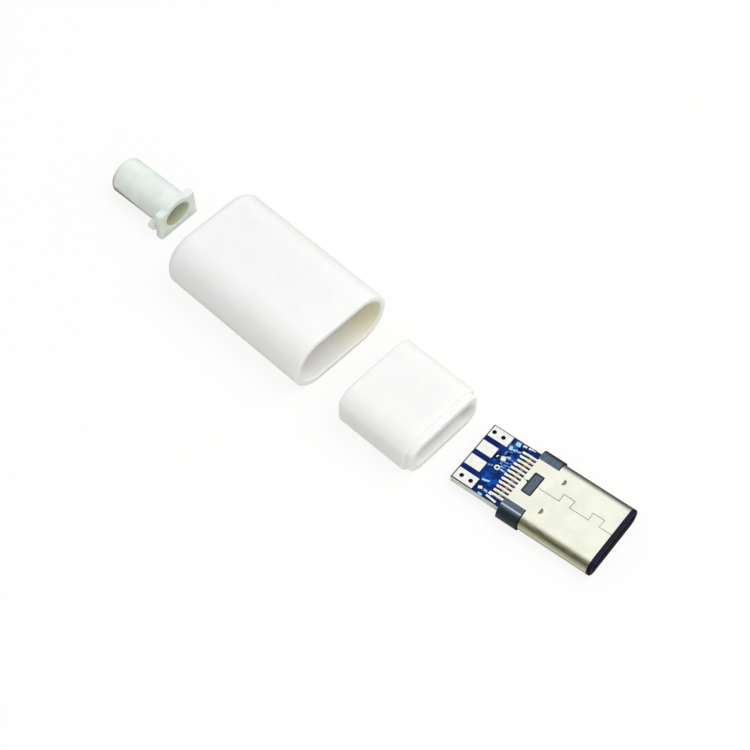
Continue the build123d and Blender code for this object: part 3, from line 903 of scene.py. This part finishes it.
class PLUG_OT_housing(bpy.types.Operator):
    """Outer housing: racetrack rings over the outside, round the seat, and back along the bore"""

    bl_idname = "plug.housing"
    bl_label = "Outer housing"

    def execute(self, context):
        s = context.scene.plug_housing
        shape = outline(racetrack_path(s.wide, s.high))
        end_ring = shape[0] - s.back_round * shape[1]
        seat = polar(np.full(len(end_ring), s.seat / 2), np.arctan2(end_ring[:, 1], end_ring[:, 0]))
        edge, fine = s.rim_round, 0.06 * MM
        inner_end = -s.long + s.end_wall
        bore = rings(shape, [(inner_end, s.wall + fine), (inner_end + fine, s.wall)])
        ribbed = rings(shape, [(inner_end + 2 * fine, s.wall), (-s.rib_front - fine, s.wall)])
        limit = s.wide / 2 - s.wall - s.rib_high
        near_end = np.abs(ribbed[:, :, 2]) < s.rib_wide / 2
        pulled = np.sign(ribbed[:, :, 1]) * np.minimum(np.abs(ribbed[:, :, 1]), limit)
        ribbed[:, :, 1] = np.where(near_end, pulled, ribbed[:, :, 1])
        front = rings(shape, [(-s.rib_front, s.wall)] + arc(-edge, s.wall - edge, edge, -90, 0))
        stack = [
            rings(shape, arc(-edge, edge, edge, 0, 90)),
            rings(shape, arc(-s.long + s.back_round, s.back_round, s.back_round, 90, 180, 12)),
            rings(seat, arc(-s.long + fine, -fine, fine, 180, 270, 4)),
            rings(seat, [(inner_end - fine, 0), (inner_end, -fine)]),
            bore,
            ribbed,
            front,
        ]
        piece, place = sleeve("housing_sleeve", "outer_housing", stack, s.turned)
        finish = moulded_white("white housing plastic", place, s, s.wide, s.wall, palette("painted_warm_light"))
        dressed(piece, ["outer_housing"], [finish])
        return {"FINISHED"}


class PLUG_OT_collar(bpy.types.Operator):
    """Inner collar: flat-ended racetrack rings, a stepped lip, the shell's hole and the cavity"""

    bl_idname = "plug.collar"
    bl_label = "Inner collar"

    def execute(self, context):
        s = context.scene.plug_collar
        shape = outline(collar_path(s.round_wide, s.high, s.wide, s.corner))
        lip_ring = shape[0] - s.lip_inset * shape[1]
        angles = np.arctan2(lip_ring[:, 1], lip_ring[:, 0])
        hole = polar(racetrack_reach(s.hole_wide, s.hole_high, angles), angles)
        cavity = polar(racetrack_reach(s.cavity_wide, s.cavity_high, angles), angles)
        edge, lip, fine = s.edge, s.lip_edge, 0.05 * MM
        stack = [
            rings(hole, arc(s.lip_long - lip / 2, -lip / 2, lip / 2, -90, 0)),
            rings(shape, arc(s.lip_long - lip, s.lip_inset + lip, lip, 0, 90)),
            rings(shape, [(fine, s.lip_inset), (0, s.lip_inset - fine)]),
            rings(shape, arc(-edge, edge, edge, 0, 90) + arc(-s.long + edge, edge, edge, 90, 180)),
            rings(cavity, arc(-s.long + fine, -fine, fine, 180, 270, 4)),
            rings(cavity, [(-s.shoulder - fine, 0), (-s.shoulder, fine)]),
            rings(hole, [(-s.shoulder, -fine / 2), (-s.shoulder + fine / 2, 0)]),
        ]
        piece, place = sleeve("collar_sleeve", "inner_collar", stack, s.turned)
        wall, plain = (s.high - s.hole_high) / 2, (1, 1, 1)
        finish = moulded_white("white collar plastic", place, s, s.round_wide, wall, plain)
        dressed(piece, ["inner_collar"], [finish])
        return {"FINISHED"}


def face_frames(piece, place):
    """Normals and middles of a piece's faces in the connector's local frame."""
    angle, origin = place
    flat = np.zeros((2, len(piece.data.polygons) * 3), np.float32)
    piece.data.polygons.foreach_get("normal", flat[0])
    piece.data.polygons.foreach_get("center", flat[1])
    normals, centres = flat.reshape(2, -1, 3)
    return placed(normals, -angle), placed(centres - origin, -angle)


def with_finish(piece, numbers):
    """Gives each face of a piece the finish of its number, counted from zero."""
    piece.data.polygons.foreach_set("material_index", numbers.astype(np.int32))


def pressed(piece, sizes, place):
    """Tilts the floor of each half-moon in the shell's top: it climbs from the straight side to the arc."""
    angle, origin = place
    flat = np.zeros(len(piece.data.vertices) * 3, np.float32)
    piece.data.vertices.foreach_get("co", flat)
    local = placed(flat.reshape(-1, 3) - origin, -angle)
    sunk = np.abs(local[:, 2] - sizes.stamp_level) < 0.01 * MM
    ahead = (local[:, 0] - sizes.stamp_from_back) / sizes.stamp_radius
    local[:, 2] += np.where(sunk, sizes.stamp_tilt * (np.clip(ahead, 0, 1) - 0.5), 0)
    piece.data.vertices.foreach_set("co", placed(local, angle, origin).astype(np.float32).ravel())
    piece.data.update()


class PLUG_OT_metal(bpy.types.Operator):
    """Folded shell, latch plate and ground springs: CAD sheets with rounded edges and plated finishes"""

    bl_idname = "plug.metal"
    bl_label = "Shell and springs"

    def execute(self, context):
        sizes, place = context.scene.plug_connector, connector_place()
        nickel, stamped, steel = palette("nickel", "stamped", "steel")
        plated = metal_finish("cream nickel", nickel, 0.3, place)
        # Painted reflection: the floor of each half-moon gets a darker nickel in place of the dark band it
        # would mirror.
        painted_dark_floors = metal_finish("stamped nickel", stamped, 0.3, place)
        shell = refined("metal_shell", "shell_sheet", sizes.shell_edge / 2)
        pressed(shell, sizes, place)
        dressed(shell, ["metal_shell"], [plated, painted_dark_floors])
        # Faces at the level of the half-moons' floor take that painted reflection.
        normals, middles = face_frames(shell, place)
        top = (normals[:, 2] > 0.8) & (np.abs(middles[:, 1]) < sizes.stamp_reach)
        with_finish(shell, top & (np.abs(middles[:, 2] - sizes.stamp_level) < 0.06 * MM))
        steel = metal_finish("spring steel", steel, 0.28, place)
        for node in ("latch_plate", "upper_ground_spring", "lower_ground_spring"):
            piece = refined(node, node + "_steel", sizes.shell_edge / 2, 1)
            dressed(piece, [node], [steel])
        return {"FINISHED"}


class PLUG_OT_insulators(bpy.types.Operator):
    """Moulded insulators: CAD blocks with rounded edges and a dark satin finish"""

    bl_idname = "plug.insulators"
    bl_label = "Insulators"

    def execute(self, context):
        edge, place = context.scene.plug_connector.moulded_edge, connector_place()
        black, shade, nose = palette("black", "shade", "nose")
        rear = refined("rear_insulator", "rear_insulator_moulding", edge)
        slate = black_moulding("slate insulator", black, 0.3, place, clips=True)
        # Painted shade: the faces that turn forward get a near-black copy of the same moulding.
        shaded = black_moulding("shaded insulator", shade, 0.5, place)
        dressed(rear, ["rear_insulator"], [slate, shaded])
        normals, _ = face_frames(rear, place)
        with_finish(rear, normals[:, 0] > 0.7)
        front = refined("front_insulator", "front_insulator_moulding", edge)
        navy = black_moulding("navy nose", nose, 0.45, place, gloss=0.25)
        dressed(front, ["front_insulator"], [navy])
        return {"FINISHED"}


def contact_strips(sizes, flip):
    """Strips side by side: a rounded section carried along tail, jog, seat, arm and tip."""
    back, touch = -sizes.tail_long, sizes.touch_at
    eased, jog, seat = 0.08 * MM, 0.3 * MM, 1.0 * MM
    x = [back, back + eased, 0, jog, seat, touch - sizes.spring_long, touch, touch + sizes.tip_long]
    z = np.array([sizes.tail_level] * 4 + [sizes.seat_level] * 2 + [sizes.touch_level] * 2)
    z[-1] += sizes.tip_lift
    path = np.stack([x, np.zeros_like(z), z], 1)
    along = headings(path)
    lift = np.stack([-along[:, 2], along[:, 1], along[:, 0]], 1)
    side = np.tile([0.0, 1.0, 0.0], (len(path), 1))
    side[0] *= 0.85
    lift[0] *= 0.7
    section = squared_circle(np.radians(np.arange(0, 360, 30) + 15), 5)
    profile = section * [sizes.contact_wide, sizes.contact_thick] / 2
    points, faces = strand(path, side, lift, profile)
    half_turn = np.array([1, -1, -1]) if flip else 1
    moved = [(points + [0, place * sizes.pitch, 0]) * half_turn for place in row_places()]
    return joined([(strip, faces) for strip in moved])


def row_places():
    """Places of the contacts in a row, in pitches from its middle."""
    return np.arange(CONTACTS) - (CONTACTS - 1) / 2


class PLUG_OT_contacts(bpy.types.Operator):
    """Contact rows: strips carried along their bent path, tinned on their tails"""

    bl_idname = "plug.contacts"
    bl_label = "Contacts"

    def execute(self, context):
        sizes, place = context.scene.plug_connector, connector_place()
        finish = tinned("tinned contacts", place)
        for row, name, flip in (("a", "upper_contacts", False), ("b", "lower_contacts", True)):
            points, faces = contact_strips(sizes, flip)
            piece = surface(name, placed(points, *place), faces, 30)
            nodes = [f"contact_{row}{number}" for number in range(1, CONTACTS + 1)]
            dressed(piece, nodes, [finish])
        return {"FINISHED"}


class PLUG_OT_board(bpy.types.Operator):
    """Circuit board and solder pads: lacquered faces, resin edges and pillowed tin"""

    bl_idname = "plug.board"
    bl_label = "Board and pads"

    def execute(self, context):
        place, back = connector_place(), context.scene.plug_board.back
        drilled = palette("drilled")
        board = refined("circuit_board", "board_laminate", 0.02 * MM, 1)
        # Painted shade: the walls inside the board's holes are painted near black.
        walls = lacquered("drilled walls", drilled, drilled, place)
        dressed(board, ["circuit_board"], [solder_mask(place), laminate_edge(place), walls])
        normals, middles = face_frames(board, place)
        along, across, margin = middles[:, 0], np.abs(middles[:, 1]), 0.1 * MM
        in_holes = (across < across.max() - margin) & (along > margin - back) & (along < -back / 2)
        upright = np.abs(normals[:, 2]) < 0.5
        with_finish(board, np.where(upright, np.where(in_holes, 2, 1), 0))
        finish = tinned("tinned pads", place)
        for number in range(1, 5):
            pad = refined(f"solder_pad_{number}", f"tinned_pad_{number}", 0.03 * MM)
            dressed(pad, [f"solder_pad_{number}"], [finish])
        return {"FINISHED"}


def flat_strands(runs, thin, level, rise):
    """Low rounded ribs on the board: a half-oval section carried along each run of points, so many
    thin traces wide."""
    angles = np.radians([0, 30, 60, 90, 120, 150, 180, 270])
    oval = np.stack([np.cos(angles), np.maximum(np.sin(angles), -0.2)], 1)
    parts = []
    for corners, width in runs:
        path = np.insert(np.array(corners, float) * MM, 2, level, axis=1)
        along = headings(path)
        side = np.stack([-along[:, 1], along[:, 0], 0 * along[:, 0]], 1)
        lift = np.tile([0.0, 0.0, 1.0], (len(path), 1))
        parts.append(strand(path, side * width * thin / 2, lift * rise, oval))
    return joined(parts)


def slabs(patches, level, rise):
    """Flat patches with eased rims, (x, y, length, width, turn) each: an outline between an oval and a
    rectangle that climbs from inside the board to its top and closes to a point in the middle. Each
    stands a little above the last."""
    rim = squared_circle(np.radians(np.arange(0, 360, 7.5)), 6)
    eased, step = 0.03 * MM, 0.03
    parts = []
    for number, (x, y, long, wide, lean) in enumerate(patches):
        scale = np.array([long, wide]) * MM / 2
        inset = min(eased / scale.min(), 0.3)
        top = rise * (1 + step * number)
        steps = ((0, -0.4), (1, -0.4), (1, 0.4), (1 - inset, 0.9), (1 - 2 * inset, 1), (0, 1))
        grid = np.stack([np.insert(rim * scale * share, 2, level + z * top, axis=1) for share, z in steps])
        points = placed(grid.reshape(-1, 3), radians(lean), (x * MM, y * MM, 0))
        parts.append((points, outward(points, grid_faces(len(steps), len(rim), False))))
    return joined(parts)


def eyelets(marks, level, rise):
    """Rings round a hole or dot, (x, y, outer and inner diameter, stretch, turn) each: a half-round
    section turned about Z, then drawn out by the stretch along the turn."""
    around = np.radians(np.arange(0, 360, 15))
    section = np.radians([0, 45, 90, 135, 180, 270])
    height = level + np.maximum(np.sin(section), -0.3) * rise
    parts = []
    for x, y, outer, inner, stretch, lean in marks:
        reach = ((outer + inner) + (outer - inner) * np.cos(section)) / 4 * MM
        flat = reach[:, None, None] * bearings(around) * [stretch, 1]
        grid = np.concatenate([flat, np.broadcast_to(height[:, None, None], flat.shape[:2] + (1,))], axis=2)
        points = placed(grid.reshape(-1, 3), radians(lean), (x * MM, y * MM, 0))
        parts.append((points, outward(points, grid_faces(len(section), len(around), True))))
    return joined(parts)


# Marks on the board, placed in the connector's millimetres, in the forms that slabs, eyelets
# and flat strands take
POURS = [
    (-2.95, -1.25, 1.25, 1.4, 10),
    (-2.15, -1.95, 0.95, 1.5, 8),
    (-2.12, 1.8, 0.9, 0.85, 0),
    (-3.55, 0.35, 0.3, 0.4, 0),
]
TRACES = [
    ([(-3.28, -2.04), (-2.9, -1.98), (-2.5, -1.83)], 1.7),
    ([(-3.02, 0.72), (-2.5, 0.78), (-1.9, 0.97)], 1.25),
    ([(-2.92, 0.45), (-2.4, 0.46), (-1.84, 0.58)], 1.25),
    ([(-2.68, 0.19), (-1.87, 0.2)], 1.25),
    ([(-2.5, -0.12), (-1.85, -0.16)], 1.25),
    ([(-2.7, 2.3), (-2.3, 2.42), (-1.95, 2.6)], 1.25),
    ([(-3.75, -0.4), (-3.3, -0.2)], 1.3),
    ([(-2.5, -2.85), (-2.0, -2.92)], 1.8),
    ([(-2.5, 1.25), (-2.0, 1.3)], 1.5),
    ([(-3.15, 1.42), (-3.08, 1.82), (-2.9, 2.0), (-2.6, 2.02)], 1.6),
]
DEEP_MARKS = [(-2.95, 2.7, 0.95, 1.0, 12), (-2.55, 1.5, 0.6, 0.6, 20), (-2.55, 3.3, 1.1, 0.5, 8)]
TEAL_MARKS = [
    (-2.69, 3.19, 0.52, 0.5, 8),
    (-3.05, 2.42, 0.36, 0.5, 20),
    (-2.58, 1.4, 0.5, 0.26, 20),
    (-2.62, 2.45, 0.6, 0.16, 25),
    (-2.5, -3.5, 0.5, 0.2, -4),
]
# Painted shade: flat dark patches and a dark ring lie on the board where it has open drills and slots.
HOLE_SHADE_PATCHES = [
    (-3.23, 3.01, 0.32, 0.34, 0),
    (-2.82, 1.66, 0.46, 0.48, 0),
    (-2.36, 3.24, 0.12, 0.5, 18),
    (-1.75, 3.02, 0.36, 0.16, 5),
    (-2.3, 2.86, 0.7, 0.1, 12),
]
SLOT_SHADE_RINGS = [(-3.56, 0.92, 0.5, 0.24, 1.75, 67)]
TINNED_DOTS = [
    (-2.03, 3.37, 0.42, 0.26, 10),
    (-2.87, -2.9, 0.46, 0.36, 25),
    (-1.35, -3.3, 1.2, 0.26, -7),
    (-1.25, 3.5, 0.8, 0.24, 14),
    (-2.95, 1.0, 0.52, 0.56, 20),
    (-3.56, 0.92, 0.3, 0.16, 67),
    (-1.75, -2.95, 0.4, 0.14, -10),
]
TINNED_RINGS = [(-2.87, -0.15, 0.62, 0.24, 1, 0)]
LANDS_BEHIND_SHELL = 0.2


class PLUG_OT_copper(bpy.types.Operator):
    """Pour, traces, rings, dots and lands that stand a hair above the board"""

    bl_idname = "plug.copper"
    bl_label = "Traces and lands"

    def execute(self, context):
        s, place = context.scene.plug_board, connector_place()
        pour, trace, teal, deep, drilled, mask = palette("pour", "trace", "teal", "deep", "drilled", "mask")
        low, high, pitch = s.copper, 1.5 * s.copper, connector_point("pitch")
        long, wide = s.land_long / MM, s.land_wide / MM
        lands = [(-long / 2 - LANDS_BEHIND_SHELL, y, long, wide, 0) for y in row_places() * pitch]
        traces = flat_strands(TRACES, s.trace_wide, s.top, high)
        # Painted shade: the dark patches and ring for drills and slots.
        dark = joined([slabs(HOLE_SHADE_PATCHES, s.top, 1.2 * low), eyelets(SLOT_SHADE_RINGS, s.top, high)])
        tin = joined([slabs(lands + TINNED_DOTS, s.top, 1.2 * low), eyelets(TINNED_RINGS, s.top, high)])
        layers = {
            "blue_pour": (slabs(POURS, s.top, low), lacquered("lacquered pour", pour, mask, place)),
            "bright_traces": (traces, lacquered("lacquered trace", trace, pour, place)),
            "deep_marks": (slabs(DEEP_MARKS, s.top, 0.8 * low), lacquered("deep lacquer", deep, pour, place)),
            "teal_marks": (slabs(TEAL_MARKS, s.top, 1.3 * low), lacquered("thin mask", teal, trace, place)),
            "dark_marks": (dark, lacquered("drilled black", drilled, drilled, place)),
            "tinned_lands": (tin, tinned("tinned lands", place)),
        }
        for name, ((points, faces), finish) in layers.items():
            piece = surface(name, placed(points, *place), faces, 35)
            dressed(piece, [], [finish])
        return {"FINISHED"}


# Studio


class PLUG_OT_studio(bpy.types.Operator):
    """Pale floor, even sky with a mirrored room, one large soft lamp and the camera"""

    bl_idname = "plug.studio"
    bl_label = "Studio"

    def execute(self, context):
        values = context.scene.plug_studio
        aim = Vector((values.aim_x, values.aim_y, 0))
        self.add_floor(values)
        self.add_sky(values)
        self.add_lamp(values, aim)
        self.add_camera(values, aim)
        context.scene.view_settings.view_transform = "Standard"
        return {"FINISHED"}

    def add_floor(self, values):
        """A table two metres wide just under the pieces. The camera sees its own shade only in part and
        otherwise a glow, so that the two together are nearly white where no shadow falls."""
        mesh = bpy.data.meshes.new("table_floor")
        foot, nearly_white = -0.02 * MM, 0.99
        corners = [(-1, -1, foot), (1, -1, foot), (1, 1, foot), (-1, 1, foot)]
        mesh.from_pydata(corners, [], [(0, 1, 2, 3)])
        floor = linked("table_floor", mesh)
        shade = tuple(values.floor)
        finish = Finish("pale table", shade, 0.9)
        finish.set("Specular IOR Level", 0.1)
        glow = finish.node("ShaderNodeEmission")
        seen = values.shadow * sum(shade) / 3
        glow.inputs["Strength"].default_value = (nearly_white - seen) / (1 - values.shadow)
        path = finish.node("ShaderNodeLightPath")
        share = finish.math("MULTIPLY", path.outputs["Is Camera Ray"], 1 - values.shadow)
        mix = finish.node("ShaderNodeMixShader")
        for target, source in zip(mix.inputs, (share, finish.shader.outputs[0], glow.outputs[0])):
            finish.link(source, target)
        finish.link(mix.outputs[0], finish.tree.nodes["Material Output"].inputs["Surface"])
        mesh.materials.append(finish.material)
        floor.visible_glossy = False

    def add_sky(self, values):
        """White for the camera and even light for matt surfaces. Gloss mirrors a room by the height of
        each direction: pale table below, a dark band round a leaning horizon, grey on the far side and
        lower towards the plug's ends, and white above."""
        world = bpy.data.worlds.new("studio_sky")
        bpy.context.scene.world = world
        world.use_nodes = True
        sky = Graph(world.node_tree)
        path = sky.node("ShaderNodeLightPath").outputs
        direction = sky.node("ShaderNodeTexCoord").outputs["Generated"]
        parts = sky.node("ShaderNodeSeparateXYZ")
        sky.link(direction, parts.inputs[0])
        ahead, aside = parts.outputs["X"], parts.outputs["Y"]
        level = sky.vector("DOT_PRODUCT", direction, (0, np.sin(values.lean), np.cos(values.lean)))
        heading = sky.math("ABSOLUTE", sky.math("ARCTAN2", aside, ahead))
        off_side = sky.math("ABSOLUTE", sky.math("SUBTRACT", heading, np.pi / 2))
        raised = sky.math("ADD", level, sky.rise(off_side, radians(28), radians(38), values.open_ends))
        ramp = sky.node("ShaderNodeValToRGB")
        sky.link(sky.math("MULTIPLY_ADD", raised, 0.5, 0.5), ramp.inputs[0])
        stops = ramp.color_ramp.elements
        stops[0].color, stops[1].color = (*values.ground, 1), (1, 1, 1, 1)
        for height, shade in (
            (-0.5, values.table_edge),
            (-0.2, values.band),
            (0.42, values.band),
            (0.6, values.wall),
            (0.78, values.ceiling),
            (0.9, (1, 1, 1)),
        ):
            stops.new(height / 2 + 0.5).color = (*shade, 1)
        grey = sky.node("ShaderNodeRGBToBW")
        sky.link(ramp.outputs["Color"], grey.inputs[0])
        room = sky.blend(sky.math("MULTIPLY", aside, 3), ramp.outputs["Color"], grey.outputs[0])
        light = sky.blend(path["Is Glossy Ray"], (values.sky,) * 3, room)
        seen = sky.math("MAXIMUM", path["Is Camera Ray"], path["Is Transmission Ray"])
        sky.link(sky.blend(seen, light, (1, 1, 1)), sky.tree.nodes["Background"].inputs["Color"])

    def add_lamp(self, values, aim):
        """A square lamp that gives a level, as a share of full white, on a table face turned to it. Gloss
        doesn't mirror it."""
        offset, size = Vector(values.key_place), values.key_wide
        lamp = bpy.data.lights.new("key_lamp", "AREA")
        lamp.size = size
        spread = 1 + size**2 / offset.length_squared / 4
        lamp.energy = values.key * np.pi**2 * offset.length_squared * spread
        holder = linked("key_lamp", lamp)
        holder.visible_glossy = False
        turned = offset.to_track_quat("Z", "Y").to_matrix().to_4x4()
        holder.matrix_world = Matrix.Translation(aim + offset) @ turned

    def add_camera(self, values, aim):
        """A long lens that looks down at the aim from the azimuth and elevation given."""
        camera = bpy.data.cameras.new("table_camera")
        camera.lens = values.lens
        camera.sensor_width = 36
        camera.clip_start = 10 * MM
        holder = linked("table_camera", camera)
        tilt = Matrix.Rotation(radians(90) - values.elevation, 4, "X")
        turned = Matrix.Rotation(values.azimuth, 4, "Z") @ tilt
        holder.matrix_world = Matrix.Translation(aim) @ turned @ Matrix.Translation((0, 0, values.distance))
        bpy.context.scene.camera = holder


class PLUG_PT_kit(bpy.types.Panel):
    """Sizes, colours and steps of the plug kit"""

    bl_idname = "PLUG_PT_kit"
    bl_label = "Plug kit"
    bl_space_type = "VIEW_3D"
    bl_region_type = "UI"
    bl_category = "Plug kit"

    def draw(self, context):
        for holder, group in GROUPS.items():
            box = self.layout.box()
            box.label(text=group.__doc__.split(":")[0].rstrip("."))
            values = getattr(context.scene, holder)
            for name in group.__annotations__:
                box.prop(values, name)
        for step in STEPS:
            self.layout.operator(step.bl_idname)


GROUPS = {
    "plug_relief": ReliefSizes,
    "plug_housing": HousingSizes,
    "plug_collar": CollarSizes,
    "plug_connector": ConnectorSizes,
    "plug_board": BoardSizes,
    "plug_finish": FinishColours,
    "plug_studio": StudioValues,
}
STEPS = (
    PLUG_OT_studio,
    PLUG_OT_relief,
    PLUG_OT_housing,
    PLUG_OT_collar,
    PLUG_OT_metal,
    PLUG_OT_insulators,
    PLUG_OT_contacts,
    PLUG_OT_board,
    PLUG_OT_copper,
)


def register():
    for group in (*GROUPS.values(), *STEPS, PLUG_PT_kit):
        bpy.utils.register_class(group)
    for holder, group in GROUPS.items():
        setattr(bpy.types.Scene, holder, PointerProperty(type=group))


def unregister():
    for holder in GROUPS:
        delattr(bpy.types.Scene, holder)
    for group in reversed((*GROUPS.values(), *STEPS, PLUG_PT_kit)):
        bpy.utils.unregister_class(group)


def main():
    """Runs every step in order."""
    register()
    for step in STEPS:
        space, name = step.bl_idname.split(".")
        getattr(getattr(bpy.ops, space), name)()


if __name__ == "__main__":
    main()
